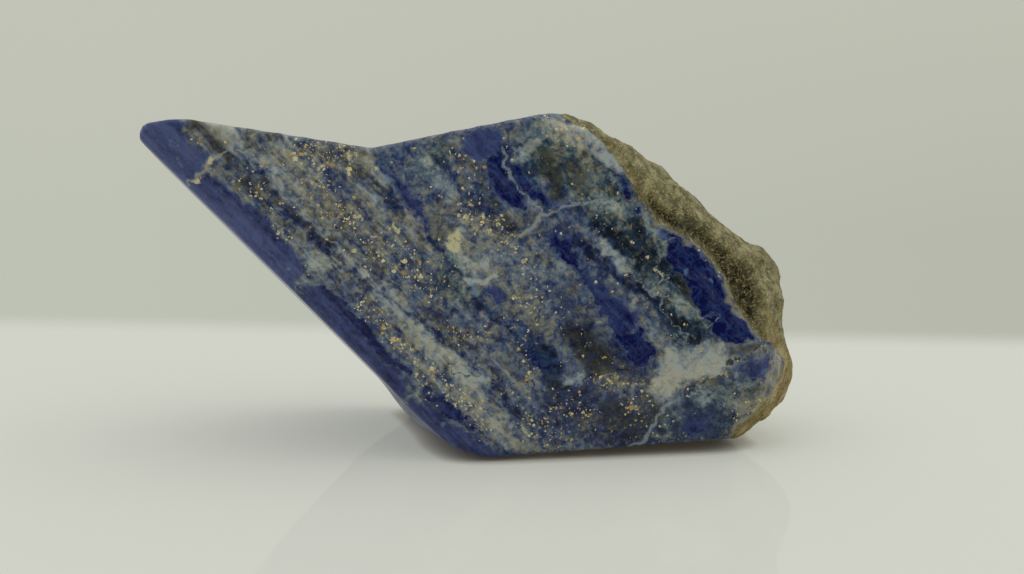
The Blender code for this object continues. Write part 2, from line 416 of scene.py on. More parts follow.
# Strokes of the other minerals: how strong, how wide in pixels from middle to edge, and their run
STROKES = {
    "calcite": (
        (0.9, 8, ((214, 122), (226, 133), (234, 141))),
        (0.65, 5, ((238, 145), (255, 160), (268, 174), (280, 188))),
        (0.5, 4, ((262, 170), (278, 190), (292, 203))), (0.55, 8, ((312, 258), (326, 263))),
        (0.6, 5, ((335, 250), (350, 262), (366, 275))),
        (0.65, 9, ((383, 290), (398, 308), (412, 326), (426, 340), (442, 352), (462, 367), (478, 380))),
        (0.22, 10, ((470, 395), (490, 415), (505, 430), (522, 441))),
        (0.5, 6, ((424, 158), (437, 176), (450, 196))), (0.35, 4, ((370, 160), (380, 173), (388, 186))),
        (0.25, 9, ((478, 240), (495, 243), (512, 243))), (0.6, 8, ((455, 260), (467, 266), (482, 262))),
        (0.9, 3, ((469, 283), (476, 279), (494, 277))), (0.5, 10, ((545, 125), (560, 130), (575, 140))),
        (0.75, 7, ((582, 126), (600, 145), (614, 158), (622, 168))),
        (0.55, 6, ((640, 215), (650, 228), (658, 240), (662, 256))),
        (0.6, 6, ((600, 243), (612, 258), (625, 268))),
        (0.85, 13, ((662, 388), (675, 372), (700, 364), (714, 359))), (0.9, 8, ((664, 374), (673, 357))),
        (0.7, 7, ((672, 352), (700, 352), (718, 348))), (0.9, 6, ((568, 382), (582, 378))),
        (0.6, 10, ((702, 396), (718, 394), (742, 402))), (0.25, 20, ((495, 262), (528, 272))),
        (0.6, 6, ((540, 140), (530, 150), (520, 158))), (0.5, 8, ((590, 200), (610, 205), (625, 208))),
        (0.5, 6, ((668, 285), (680, 300), (690, 312))), (0.35, 18, ((285, 158), (310, 174))),
        (0.5, 12, ((456, 243),)),
    ),
    "dark": (
        (0.8, 4, ((285, 212), (300, 221), (316, 228))), (0.8, 5, ((312, 236), (330, 248))),
        (0.8, 4, ((337, 254), (355, 270))), (0.7, 4, ((360, 280), (374, 291))),
        (0.9, 3, ((372, 280), (399, 304), (416, 317), (430, 330), (447, 346), (470, 364), (480, 374))),
        (0.6, 5, ((366, 171), (382, 188), (394, 205), (404, 217))),
        (1.0, 3, ((494, 384), (505, 400), (517, 412))), (0.9, 3, ((452, 345), (466, 362), (477, 375))),
        (0.8, 2.5, ((474, 300), (488, 312), (500, 322), (512, 334), (524, 348), (533, 360), (541, 374),
            (553, 387))),
        (0.9, 6, ((577, 240), (593, 254), (612, 269), (631, 283), (648, 294), (661, 309))),
        (0.7, 12, ((645, 252), (664, 265), (675, 285))), (0.8, 9, ((672, 318), (690, 330), (700, 340))),
        (0.9, 9, ((600, 228), (620, 240), (640, 258))), (0.7, 15, ((578, 332), (598, 358))),
        (0.4, 10, ((470, 206), (490, 219), (508, 227))), (0.8, 12, ((640, 232), (655, 250))),
        (0.5, 9, ((530, 335), (545, 355), (556, 375))), (0.5, 10, ((610, 345), (622, 366), (645, 372))),
        (0.6, 6, ((500, 150), (506, 172), (522, 196))), (0.4, 9, ((240, 160), (262, 182), (290, 205))),
        (0.9, 4, ((208, 178), (232, 194), (256, 215), (279, 240))),
        (0.7, 3, ((262, 246), (280, 262), (292, 276))), (0.5, 3, ((430, 240), (446, 256), (460, 272))),
        (0.65, 24, ((565, 398), (600, 418), (640, 430))), (0.3, 16, ((700, 405), (735, 402))),
        (0.3, 12, ((655, 430), (720, 436))),
    ),
    "sky": (
        (0.8, 4, ((687, 272),)), (0.7, 4, ((387, 180),)), (0.5, 4, ((173, 144),)), (0.5, 4, ((179, 161),)),
        (0.6, 3.5, ((287, 267),)), (0.6, 3, ((444, 424),)), (0.6, 2, ((710, 283),)),
        (0.6, 2, ((714, 295),)), (0.7, 5, ((472, 283), (476, 293))), (0.4, 2, ((705, 314), (724, 314))),
        (0.45, 2, ((730, 373), (750, 377), (768, 371))), (0.4, 2, ((726, 380), (745, 386), (758, 383))),
        (0.35, 6, ((524, 140), (520, 150))), (0.4, 5, ((612, 150), (606, 156))),
        (0.35, 8, ((520, 330), (530, 345))), (0.4, 6, ((655, 228), (668, 240))),
    ),
    "olive": (
        (0.6, 8, ((192, 121), (210, 132), (228, 148))), (0.7, 7, ((240, 182), (262, 190), (282, 197))),
        (1.0, 9, ((548, 158), (553, 175), (557, 193))), (0.7, 8, ((575, 168), (583, 190))),
        (0.9, 16, ((578, 330), (592, 350), (602, 362))), (0.8, 14, ((612, 412), (632, 424), (652, 412))),
        (0.6, 5, ((453, 148), (475, 175), (495, 205), (514, 228))), (0.8, 7, ((680, 284), (692, 300))),
        (0.8, 4, ((733, 351), (757, 346))), (0.5, 8, ((534, 150), (540, 165))),
        (0.4, 9, ((225, 150), (240, 165))), (0.7, 5, ((680, 280), (688, 292))),
        (0.6, 10, ((715, 385), (745, 398))), (0.5, 12, ((560, 300), (575, 318))),
    ),
    "teal": (
        (0.8, 24, ((545, 150), (590, 180), (625, 225), (665, 270), (690, 325))),
        (0.6, 14, ((600, 215), (640, 245))), (0.6, 14, ((460, 262), (450, 285), (470, 292))),
        (0.7, 10, ((520, 340), (545, 368), (556, 384))), (0.6, 14, ((700, 395), (730, 392), (745, 385))),
        (0.5, 20, ((670, 425), (720, 425))), (0.6, 12, ((440, 150), (430, 165))),
        (0.5, 10, ((408, 392), (420, 398), (440, 402))),
    ),
    "pyrite": (
        (0.9, 13, ((298, 152), (325, 162), (352, 157))), (0.8, 14, ((318, 190), (345, 213))),
        (0.8, 14, ((362, 245), (385, 256), (402, 262))), (0.6, 6, ((268, 215), (276, 234), (290, 231))),
        (0.9, 8, ((364, 303), (378, 318), (396, 340), (404, 346))),
        (0.9, 10, ((420, 367), (440, 386), (462, 402), (484, 424))),
        (1.0, 11, ((468, 214), (485, 222), (503, 229))), (0.6, 12, ((520, 300), (545, 310))),
        (0.8, 7, ((455, 332), (470, 340), (490, 330))), (0.9, 6, ((598, 378), (630, 384), (652, 390))),
        (1.0, 3.5, ((686, 395), (700, 382), (712, 377), (723, 373))), (0.6, 10, ((556, 402), (590, 412))),
        (0.7, 7, ((735, 412), (762, 404))), (0.5, 12, ((552, 124), (580, 140))),
        (0.5, 8, ((455, 150), (480, 190))), (0.5, 10, ((245, 180), (262, 192))),
        (0.6, 12, ((525, 425), (560, 438))), (0.5, 10, ((520, 342), (530, 372))),
        (0.5, 16, ((640, 405), (650, 425))), (0.5, 12, ((410, 270), (430, 290))),
        (0.6, 8, ((520, 250), (530, 270))),
    ),
    "cream": (
        (1.0, 9, ((456, 243),)), (1.0, 2.5, ((393, 224), (396, 229))), (0.9, 2.5, ((358, 216),)),
        (0.9, 2.2, ((413, 276),)), (0.9, 2.5, ((209, 165), (212, 161))),
        (0.9, 2.2, ((191, 183), (196, 179))), (0.8, 2.0, ((349, 157),)), (0.9, 3.5, ((465, 218),)),
        (0.8, 3.0, ((481, 217),)), (0.7, 2.5, ((656, 270), (664, 282))),
    ),
    "vein": (
        (0.9, 1.4, ((226, 150), (213, 161), (201, 171), (187, 184))),
        (0.7, 1.1, ((314, 266), (305, 279), (297, 291))), (0.7, 1.3, ((427, 380), (416, 391), (406, 401))),
        (0.8, 1.2, ((280, 192), (296, 206), (325, 233), (344, 252), (368, 274), (399, 302), (416, 314))),
        (0.9, 1.4, ((500, 144), (504, 160), (506, 174), (514, 186), (521, 195), (531, 203), (543, 213))),
        (1.0, 2.2, ((520, 238), (531, 230), (543, 217), (555, 212))),
        (0.8, 1.6, ((555, 212), (569, 204), (583, 203), (600, 203), (617, 200))),
        (0.9, 1.5, ((598, 238), (607, 255), (621, 267), (633, 274), (643, 286), (652, 290), (660, 300),
            (679, 298), (688, 305), (698, 314), (704, 318))),
        (0.9, 1.4, ((652, 290), (660, 281), (656, 270))), (0.8, 1.2, ((660, 283), (668, 281))),
        (0.6, 1.1, ((660, 300), (662, 310), (669, 319), (681, 329), (690, 343), (696, 348))),
        (0.9, 2.0, ((626, 446), (643, 443), (652, 429), (664, 412), (672, 400))),
        (0.5, 1.0, ((569, 352), (590, 345))), (0.5, 1.0, ((700, 330), (712, 322), (722, 318))),
        (0.5, 1.0, ((664, 243), (673, 239))),
    ),
    "seam": (
        (0.9, 2.2, ((655, 222), (662, 226), (673, 230), (684, 239), (700, 246), (712, 259), (723, 272),
            (730, 290), (733, 304), (745, 319), (758, 335))),
        (1.0, 3.0, ((785, 350), (779, 374), (771, 395), (752, 417), (731, 432))),
        (0.8, 1.6, ((189, 184), (203, 170), (214, 159), (226, 149))),
        (0.9, 2.2, ((776, 356), (769, 380), (759, 398), (741, 414))),
        (0.7, 1.8, ((518, 240), (531, 230), (543, 217), (555, 211))),
    ),
    "crack": (
        (0.8, 1.2, ((439, 365), (471, 376), (488, 379), (500, 380), (507, 386), (521, 381), (533, 383),
            (545, 393), (552, 390), (568, 390), (589, 376), (602, 374), (621, 369), (650, 364))),
        (1.0, 1.4, ((724, 364), (738, 361), (757, 348))), (1.0, 1.2, ((698, 383), (712, 378), (722, 374))),
    ),
    "grit": (
        (0.35, 34, ((235, 150), (300, 185), (350, 235), (400, 290), (450, 340))),
        (0.6, 16, ((190, 118), (212, 140))), (0.8, 18, ((300, 158), (352, 165))),
        (0.6, 16, ((465, 210), (505, 228))), (0.5, 30, ((425, 230), (450, 290))),
        (0.5, 24, ((500, 290), (535, 330))), (0.8, 14, ((598, 380), (650, 390))),
        (0.35, 26, ((480, 395), (530, 430))), (0.5, 22, ((560, 140), (585, 185))),
        (0.7, 12, ((655, 385), (720, 372))), (0.6, 18, ((740, 405), (765, 385))),
        (0.5, 20, ((600, 420), (650, 410))), (0.4, 16, ((590, 205), (655, 255))),
    ),
    "blue": (
        (0.7, 12, ((300, 145), (330, 165), (345, 190))), (0.6, 26, ((415, 275), (450, 300), (480, 320))),
        (0.6, 22, ((400, 160), (425, 185))), (0.7, 14, ((520, 270), (545, 290), (560, 310))),
        (0.7, 18, ((575, 385), (600, 400), (640, 400))), (0.7, 20, ((650, 410), (731, 405))),
        (0.8, 14, ((500, 160), (520, 190))), (0.6, 14, ((440, 250), (470, 290))),
        (0.5, 20, ((540, 180), (600, 220))), (0.8, 12, ((520, 330), (550, 370))),
        (0.7, 10, ((555, 235), (590, 280))), (0.7, 16, ((490, 390), (560, 440))),
        (0.5, 10, ((240, 150), (262, 172), (290, 205))), (0.6, 12, ((475, 180), (500, 205))),
    ),
    "rust": (
        (1.0, 14, ((790, 350), (786, 385), (765, 412), (745, 428))), (0.5, 12, ((770, 330), (785, 345))),
    ),
}
minerals = {}
for mineral, strokes in STROKES.items():
    gone = [
        away([on_front(pixel) for pixel in run], spots) / (width * PIXEL) for strength, width, run in strokes
    ]
    strengths = [strength for strength, width, run in strokes]
    if mineral in ("vein", "seam", "crack"):
        nearest = np.min([far / strength for far, strength in zip(gone, strengths)], axis=0)
        minerals[mineral] = np.minimum(nearest, THIN_MARK_LIMIT)
    else:
        shares = [strength * (1.0 - smoothed(far, 0.45, 1.6)) for far, strength in zip(gone, strengths)]
        minerals[mineral] = np.max(shares, axis=0)

# THE RIND
# Natural, weathered skin left on the right end: lumpy and grainy, a little below the polished front,
# with a hollow behind the front's edge. It reaches round the end to where the back is ground.
GROUND_FACES = (
    ((-15.6, -15.8, 48.3), (0.127, -0.980, 0.154)),
    ((24.3, -15.9, 14.8), (0.151, -0.985, -0.088)),
    ((0.0, -13.8, 52.05), (-0.215, 0.330, 0.919)),
    ((9.5, 17.2, 6.8), (0.060, 0.985, 0.160)),
    ((6.5, -17.9, 0.95), (0.074, -0.231, -0.970)),
    ((0.0, 0.0, 0.0), (0.0, 0.0, -1.0)),
)
POLISH_LIMIT = (
    (560, 100), (563, 118), (585, 128), (600, 141), (614, 156), (624, 172), (634, 190), (642, 203),
    (652, 218), (664, 227), (676, 232), (688, 238), (700, 246), (711, 260), (722, 274), (730, 291),
    (735, 305), (746, 319), (757, 334), (768, 342), (777, 350), (785, 360), (781, 378), (768, 398),
    (750, 418), (733, 432), (728, 470), (900, 470), (900, 60), (560, 60),
)
HOLLOW = (
    (640, 196), (652, 189), (664, 200), (679, 212), (700, 219), (714, 233), (729, 243), (743, 255),
    (757, 271), (762, 298), (760, 326), (752, 331), (736, 309), (724, 279), (710, 257), (688, 237),
    (662, 226), (648, 212),
)
HOLLOW_DEPTH = 1.3
RIND_STARTS = (26.0, 31.0)
RIND_LEAN = 0.35
RIND_FADE = (-0.15, 0.35)
EDGE_WAVER = 0.25
RIND_GRAIN = ((2.6, 0.24), (1.2, 0.17), (0.7, 0.13))
gaps = [(np.array(point) - places) @ (np.array(out) / np.linalg.norm(out)) for point, out in GROUND_FACES]
right_end = smoothed(places[:, 0] + RIND_LEAN * places[:, 2], *RIND_STARTS)
rind_behind = (np.min(gaps, axis=0) - 0.35) * right_end - 0.6 * (1.0 - right_end)
rough_edge = straight + EDGE_WAVER * (spots - straight)
rind_in_front = depth_inside([on_front(pixel) for pixel in POLISH_LIMIT], rough_edge)
rind = np.where(facing < -0.05, rind_in_front, rind_behind)
hollow = smoothed(depth_inside([on_front(pixel) for pixel in HOLLOW], straight), -0.3, 1.8) * (facing < -0.05)

bm = bmesh.new()
bm.from_mesh(skin)
bm.normal_update()
share = smoothed(rind, *RIND_FADE)
for index, vertex in enumerate(bm.verts):
    if share[index] > 0.0:
        spot = vertex.co / MM
        rise = sum(height * noise.noise(spot / size) for size, height in RIND_GRAIN)
        rise = rise * float(share[index]) - HOLLOW_DEPTH * float(hollow[index])
        vertex.co += vertex.normal * rise * MM
bm.to_mesh(skin)
bm.free()
skin.shade_smooth()

marks = dict(minerals, lens=lens_depth, milky_and_sheen=milky_and_sheen, banded=banded, rind=rind, hollow=hollow)
for name, values in marks.items():
    layer = skin.attributes.new(name, "FLOAT", "POINT")
    layer.data.foreach_set("value", np.ascontiguousarray(values, dtype=np.float32))

# THE STONE'S MINERALS
# Lapis lazuli, ground and polished: deep blue lazurite lenses in a blue and grey ground, with tan grit,
# white calcite and brassy pyrite. A satin polish keeps its colours deep. The rind is dull and olive.
LAZURITE_DEEP = "#030B49"
LAZURITE_MILKY_AND_SHEEN = "#4F5A88"
LAZURITE_RIM = "#3E5888"
LAZURITE_WEB = "#3C62B4"
SKY_BLUE = "#86A3C4"
GROUND_TONES = {
    "blue": ((0.08, "#141D3C"), (0.34, "#34446E"), (0.58, "#66758B"), (0.92, "#A9B4B6")),
    "tan": ((0.08, "#2E2D25"), (0.36, "#646250"), (0.58, "#95927C"), (0.92, "#BFB99F")),
    "teal": ((0.08, "#131B22"), (0.36, "#2C4252"), (0.60, "#61777B"), (0.92, "#B8C0B7")),
}
OLIVE_NIGHT = "#1D1E17"
OLIVE_BROWN = "#5A5740"
CALCITE = "#CBC9B4"
CALCITE_COOL = "#ABB8C1"
CALCITE_CREAM = "#D8D2A6"
PYRITE_GOLD = "#F6ECBE"
PYRITE_BRONZE = "#B59A58"
SEAM_TAN = "#A39A78"
CRACK_BROWN = "#1C1710"
RIND_TONES = ((0.05, "#26251A"), (0.42, "#706C50"), (0.66, "#9F9A76"), (0.95, "#C6C09A"))
RIND_GOLD = "#CFC07E"
RIND_RUST = "#94722F"
RIND_CREAM = "#CFC8A0"
SWIRL_REACH = 1.2
LAYER_TURN = math.radians(-47.0)
PYRITE_CELLS = ((1.2, 0.03, 0.50, 0.52), (2.4, 0.07, 0.70, 0.60))
PYRITE_METAL = 0.35
PYRITE_SLANT = 0.9
POLISHED_ROUGHNESS = 0.22
RIND_ROUGHNESS = 0.9
RELIEF_DEPTH = 0.0004
STONE_GLEAM = 1.5
STONE_SPECULAR = 0.25

polished = bpy.data.materials.new("polished_lapis_lazuli")
polished.use_nodes = True
tree = polished.node_tree
tree.nodes.clear()
place = add(tree, "ShaderNodeTexCoord")
mm = add(tree, "ShaderNodeMapping", {
    "Vector": place.outputs["Object"], "Scale": (1 / MM, 1 / MM, 1 / MM),
}).outputs[0]
amounts = {name: add(tree, "ShaderNodeAttribute", attribute_name=name).outputs["Fac"] for name in marks}

# Swirls 2.5 mm across bend the patterns. Streaks are drawn out along the layers, down to the right.
swirl = add(tree, "ShaderNodeTexNoise", {"Vector": mm, "Scale": 0.4, "Detail": 1.0})
swirl = add(tree, "ShaderNodeVectorMath", {
    0: swirl.outputs["Color"], 1: (0.5, 0.5, 0.5),
}, operation="SUBTRACT")
swirled = add(tree, "ShaderNodeVectorMath", {
    0: swirl.outputs[0], 1: (SWIRL_REACH, SWIRL_REACH, SWIRL_REACH), 2: mm,
}, operation="MULTIPLY_ADD")
other = add(tree, "ShaderNodeMapping", {"Vector": swirled.outputs[0], "Location": (31.0, 17.0, 53.0)})
turned = add(tree, "ShaderNodeVectorRotate", {
    "Vector": swirled.outputs[0], "Angle": LAYER_TURN,
}, rotation_type="Y_AXIS")
drawn = add(tree, "ShaderNodeMapping", {"Vector": turned.outputs[0], "Scale": (0.10, 0.5, 1.0)})
# Each noise: which vector it follows, how many of its blobs go to a millimetre, octaves and roughness
NOISES = {
    "streaks": (drawn, 0.7, 2.0, 0.55),
    "threads": (drawn, 2.2, 2.0, 0.60),
    "patches": (swirled, 0.30, 2.0, 0.55),
    "mottle": (swirled, 0.85, 2.0, 0.55),
    "fine": (other, 2.4, 1.5, 0.55),
    "speck": (other, 1.15, 2.5, 0.65),
    "scatter": (other, 0.40, 2.0, 0.60),
    "warm": (other, 0.70, 2.0, 0.60),
    "weather": (swirled, 0.50, 2.0, 0.55),
    "crumb": (other, 3.2, 1.0, 0.50),
}
tints = {}
pattern = {}
for name, (vector, blobs, octaves, rough) in NOISES.items():
    made = add(tree, "ShaderNodeTexNoise", {
        "Vector": vector.outputs[0], "Scale": blobs, "Detail": octaves, "Roughness": rough,
    })
    pattern[name] = made.outputs["Fac"]
    tints[name] = made.outputs["Color"]


def gather(start, *shares):
    """Adds up values, each times its share, starting from a number."""
    total = start
    for value, share in shares:
        total = add(tree, "ShaderNodeMath", {
            0: value, 1: share, 2: total,
        }, operation="MULTIPLY_ADD").outputs[0]
    return total


# The ground's tone, and its colours from dark to pale: blue, and tan where it is gritty
drawn_out = gather(-0.80, (pattern["streaks"], 1.0), (pattern["threads"], 0.6))
how_banded = gather(0.25, (amounts["banded"], 0.50))
tone = add(tree, "ShaderNodeMath", {0: drawn_out, 1: how_banded}, operation="MULTIPLY").outputs[0]
tone = gather(
    -0.52, (tone, 1.0), (pattern["patches"], 0.45), (pattern["mottle"], 0.80), (pattern["speck"], 0.46),
    (pattern["fine"], 0.28), (amounts["calcite"], 0.45), (amounts["dark"], -0.34), (amounts["blue"], -0.06),
    (amounts["teal"], -0.06), (amounts["sky"], 0.20),
)
ground = {}
for name, stops in GROUND_TONES.items():
    ramp = add(tree, "ShaderNodeValToRGB", {"Fac": tone})
    steps = ramp.color_ramp.elements
    steps[0].position, steps[0].color = stops[0][0], linear(stops[0][1])
    steps[1].position, steps[1].color = stops[-1][0], linear(stops[-1][1])
    for position, shade in stops[1:-1]:
        steps.new(position).color = linear(shade)
    ground[name] = ramp.outputs[0]
colour = add(tree, "ShaderNodeMixRGB", {
    "Fac": amounts["teal"], "Color1": ground["blue"], "Color2": ground["teal"],
})
warmth = gather(
    -1.35, (pattern["warm"], 1.6), (pattern["speck"], 1.1), (pattern["fine"], 0.4), (amounts["grit"], 0.36),
    (amounts["blue"], -0.28), (amounts["teal"], -0.10), (amounts["dark"], -0.20),
)
warmth = add(tree, "ShaderNodeMapRange", {
    "Value": warmth, "From Min": -0.05, "From Max": 0.60, "To Max": 0.75,
}, interpolation_type="SMOOTHSTEP")
colour = add(tree, "ShaderNodeMixRGB", {
    "Fac": warmth.outputs[0], "Color1": colour.outputs[0], "Color2": ground["tan"],
})

# Olive-brown patches break up at their edges
olive = gather(-1.30, (pattern["speck"], 1.9), (pattern["fine"], 0.7), (amounts["olive"], 0.75))
olive = add(tree, "ShaderNodeMapRange", {"Value": olive, "From Min": 0.20, "From Max": 0.80, "To Max": 0.8})
brown = add(tree, "ShaderNodeMixRGB", {
    "Fac": gather(0.0, (tone, 1.0)), "Color1": linear(OLIVE_NIGHT), "Color2": linear(OLIVE_BROWN),
}, use_clamp=True)
colour = add(tree, "ShaderNodeMixRGB", {
    "Fac": olive.outputs[0], "Color1": colour.outputs[0], "Color2": brown.outputs[0],
})

# Calcite: wisps where there is much of it
wisp = gather(
    -1.75, (pattern["threads"], 1.1), (pattern["speck"], 1.4), (pattern["fine"], 0.8),
    (amounts["calcite"], 0.62),
)
wisp = add(tree, "ShaderNodeMapRange", {"Value": wisp, "From Min": 0.10, "From Max": 0.85, "To Max": 0.48})
calcite = add(tree, "ShaderNodeMixRGB", {
    "Fac": amounts["grit"], "Color1": linear(CALCITE_COOL), "Color2": linear(CALCITE),
})
colour = add(tree, "ShaderNodeMixRGB", {
    "Fac": wisp.outputs[0], "Color1": colour.outputs[0], "Color2": calcite.outputs[0],
})

# Lazurite lenses: toothed edges with a paler rim, deep or clouded pale inside, with a web of lighter lines.
# The pale clouding is partly the lazurite's own and, on the tip and left lenses, partly a painted sheen.
edge = gather(-1.30, (pattern["fine"], 0.7), (pattern["speck"], 1.9), (amounts["lens"], 1.0))
rim = add(tree, "ShaderNodeMapRange", {
    "Value": edge, "From Min": -0.35, "From Max": 0.10, "To Max": 0.25,
}, interpolation_type="SMOOTHSTEP")
colour = add(tree, "ShaderNodeMixRGB", {
    "Fac": rim.outputs[0], "Color1": colour.outputs[0], "Color2": linear(LAZURITE_RIM),
})
lens = add(tree, "ShaderNodeMapRange", {
    "Value": edge, "From Min": 0.0, "From Max": 0.40,
}, interpolation_type="SMOOTHSTEP")
# Deep to pale mix inside the lenses; its pale end is partly a painted sheen
cloud_and_sheen = gather(
    -2.0, (pattern["patches"], 0.5), (pattern["mottle"], 0.8), (pattern["streaks"], 1.3),
    (pattern["threads"], 0.8), (pattern["fine"], 0.5), (amounts["milky_and_sheen"], 1.0), (amounts["dark"], -0.45),
)
blue = add(tree, "ShaderNodeMixRGB", {
    "Fac": cloud_and_sheen, "Color1": linear(LAZURITE_DEEP), "Color2": linear(LAZURITE_MILKY_AND_SHEEN),
}, use_clamp=True)
curved = add(tree, "ShaderNodeVectorMath", {
    0: tints["speck"], 1: (1.6, 1.6, 1.6), 2: swirled.outputs[0],
}, operation="MULTIPLY_ADD")
webs = add(tree, "ShaderNodeTexVoronoi", {
    "Vector": curved.outputs[0], "Scale": 0.42,
}, feature="DISTANCE_TO_EDGE")
web = add(tree, "ShaderNodeMapRange", {
    "Value": webs.outputs["Distance"], "From Min": 0.0, "From Max": 0.09, "To Min": 0.42, "To Max": 0.0,
})
web = add(tree, "ShaderNodeMath", {0: web.outputs[0], 1: pattern["scatter"]}, operation="MULTIPLY")
blue = add(tree, "ShaderNodeMixRGB", {
    "Fac": web.outputs[0], "Color1": blue.outputs[0], "Color2": linear(LAZURITE_WEB),
})
colour = add(tree, "ShaderNodeMixRGB", {
    "Fac": lens.outputs[0], "Color1": colour.outputs[0], "Color2": blue.outputs[0],
})
spot = gather(-0.80, (pattern["speck"], 1.4), (amounts["sky"], 0.9))
spot = add(tree, "ShaderNodeMapRange", {"Value": spot, "From Min": 0.10, "From Max": 0.80, "To Max": 0.65})
colour = add(tree, "ShaderNodeMixRGB", {
    "Fac": spot.outputs[0], "Color1": colour.outputs[0], "Color2": linear(SKY_BLUE),
})

# Thin calcite veins, stronger and weaker by turns, cream grains, and hairline cracks
broken = gather(-0.68, (pattern["speck"], 1.9), (pattern["fine"], 1.2))
for run, tint in (("vein", CALCITE_COOL), ("seam", SEAM_TAN)):
    beside = gather(-3.1, (pattern["fine"], 2.6), (pattern["speck"], 3.4), (amounts[run], 1.0))
    line = add(tree, "ShaderNodeMapRange", {
        "Value": beside, "From Min": 0.1, "From Max": 1.6, "To Min": 0.70, "To Max": 0.0,
    }, interpolation_type="SMOOTHSTEP")
    line = add(tree, "ShaderNodeMath", {
        0: broken, 1: line.outputs[0],
    }, operation="MULTIPLY", use_clamp=True)
    colour = add(tree, "ShaderNodeMixRGB", {
        "Fac": line.outputs[0], "Color1": colour.outputs[0], "Color2": linear(tint),
    })
cream = gather(-1.38, (pattern["fine"], 1.5), (pattern["speck"], 0.9), (amounts["cream"], 1.0))
cream = add(tree, "ShaderNodeMapRange", {
    "Value": cream, "From Min": 0.25, "From Max": 0.75, "To Max": 0.85,
})
colour = add(tree, "ShaderNodeMixRGB", {
    "Fac": cream.outputs[0], "Color1": colour.outputs[0], "Color2": linear(CALCITE_CREAM),
})
beside = gather(-2.4, (pattern["fine"], 1.6), (pattern["speck"], 3.2), (amounts["crack"], 1.0))
crack = add(tree, "ShaderNodeMapRange", {
    "Value": beside, "From Min": 0.2, "From Max": 1.2, "To Min": 0.85, "To Max": 0.0,
}, interpolation_type="SMOOTHSTEP")
colour = add(tree, "ShaderNodeMixRGB", {
    "Fac": crack.outputs[0], "Color1": colour.outputs[0], "Color2": linear(CRACK_BROWN),
})

# Pyrite grains, 0.1 to 0.8 mm across, crowded in some zones and few in the lenses. They are cut at their
# own slants, so that some flash and others stay dull. For each size of cell: how many go to a millimetre,
# the share that holds a grain, how much more there are in the zones, and the widest grain.
bent = add(tree, "ShaderNodeVectorMath", {
    0: tints["crumb"], 1: (0.50, 0.50, 0.50), 2: mm,
}, operation="MULTIPLY_ADD")
outside = add(tree, "ShaderNodeMapRange", {"Value": lens.outputs[0], "To Min": 1.0, "To Max": 0.12})
grains = None
for cells_in_mm, seldom, often, widest in PYRITE_CELLS:
    cells = add(tree, "ShaderNodeTexVoronoi", {"Vector": bent.outputs[0], "Scale": cells_in_mm})
    luck = add(tree, "ShaderNodeSeparateColor", {0: cells.outputs["Color"]})
    wanted = gather(seldom - 0.20, (pattern["scatter"], 0.40), (amounts["pyrite"], often))
    wanted = add(tree, "ShaderNodeMath", {0: wanted, 1: outside.outputs[0]}, operation="MULTIPLY")
    spare = add(tree, "ShaderNodeMath", {0: wanted.outputs[0], 1: luck.outputs[0]}, operation="SUBTRACT")
    there = add(tree, "ShaderNodeMapRange", {"Value": spare.outputs[0], "From Max": 0.03})
    size = add(tree, "ShaderNodeMath", {0: luck.outputs[1], 1: luck.outputs[1]}, operation="MULTIPLY")
    size = add(tree, "ShaderNodeMapRange", {"Value": size.outputs[0], "To Min": 0.16, "To Max": widest})
    size = add(tree, "ShaderNodeMath", {0: size.outputs[0], 1: there.outputs[0]}, operation="MULTIPLY")
    far_off = gather(-0.30, (pattern["fine"], 0.60), (cells.outputs["Distance"], 1.0))
    grain = add(tree, "ShaderNodeMath", {0: size.outputs[0], 1: far_off}, operation="SUBTRACT")
    grain = add(tree, "ShaderNodeMapRange", {
        "Value": grain.outputs[0], "From Max": 0.06, "To Max": there.outputs[0],
    })
    gold = add(tree, "ShaderNodeMixRGB", {
        "Fac": luck.outputs[2], "Color1": linear(PYRITE_GOLD), "Color2": linear(PYRITE_BRONZE),
    })
    colour = add(tree, "ShaderNodeMixRGB", {
        "Fac": grain.outputs[0], "Color1": colour.outputs[0], "Color2": gold.outputs[0],
    })
    tilt = add(tree, "ShaderNodeVectorMath", {
        0: cells.outputs["Color"], 1: (0.5, 0.5, 0.5),
    }, operation="SUBTRACT")
    tilt = add(tree, "ShaderNodeVectorMath", {
        0: tilt.outputs[0], "Scale": grain.outputs[0],
    }, operation="SCALE")
    if grains is None:
        grains, slant = grain, tilt
    else:
        grains = add(tree, "ShaderNodeMath", {
            0: grains.outputs[0], 1: grain.outputs[0],
        }, operation="MAXIMUM")
        slant = add(tree, "ShaderNodeVectorMath", {
            0: slant.outputs[0], 1: tilt.outputs[0],
        }, operation="ADD")

# Rind: weathered matrix, lighter on its lumps, with golden grains, and darker in the carved hollow, partly
# the rind's own darker colour and partly painted shade. Low on the right it is rusty, and there and on the
# polish beside it bands of cream and olive follow the edge.
# The hollow's term darkens the rind where it dips behind the polished edge: partly painted shade
shade = gather(
    -0.42, (pattern["weather"], 0.9), (pattern["speck"], 0.4), (pattern["crumb"], 0.32),
    (pattern["fine"], 0.22), (amounts["hollow"], -0.38),
)
natural_colour = add(tree, "ShaderNodeValToRGB", {"Fac": shade})
steps = natural_colour.color_ramp.elements
steps[0].position, steps[0].color = RIND_TONES[0][0], linear(RIND_TONES[0][1])
steps[1].position, steps[1].color = RIND_TONES[-1][0], linear(RIND_TONES[-1][1])
for position, tint in RIND_TONES[1:-1]:
    steps.new(position).color = linear(tint)
gilt = gather(-1.55, (pattern["crumb"], 1.6), (pattern["speck"], 0.9), (pattern["scatter"], 0.5))
gilt = add(tree, "ShaderNodeMapRange", {"Value": gilt, "From Min": 0.0, "From Max": 0.35, "To Max": 0.45})
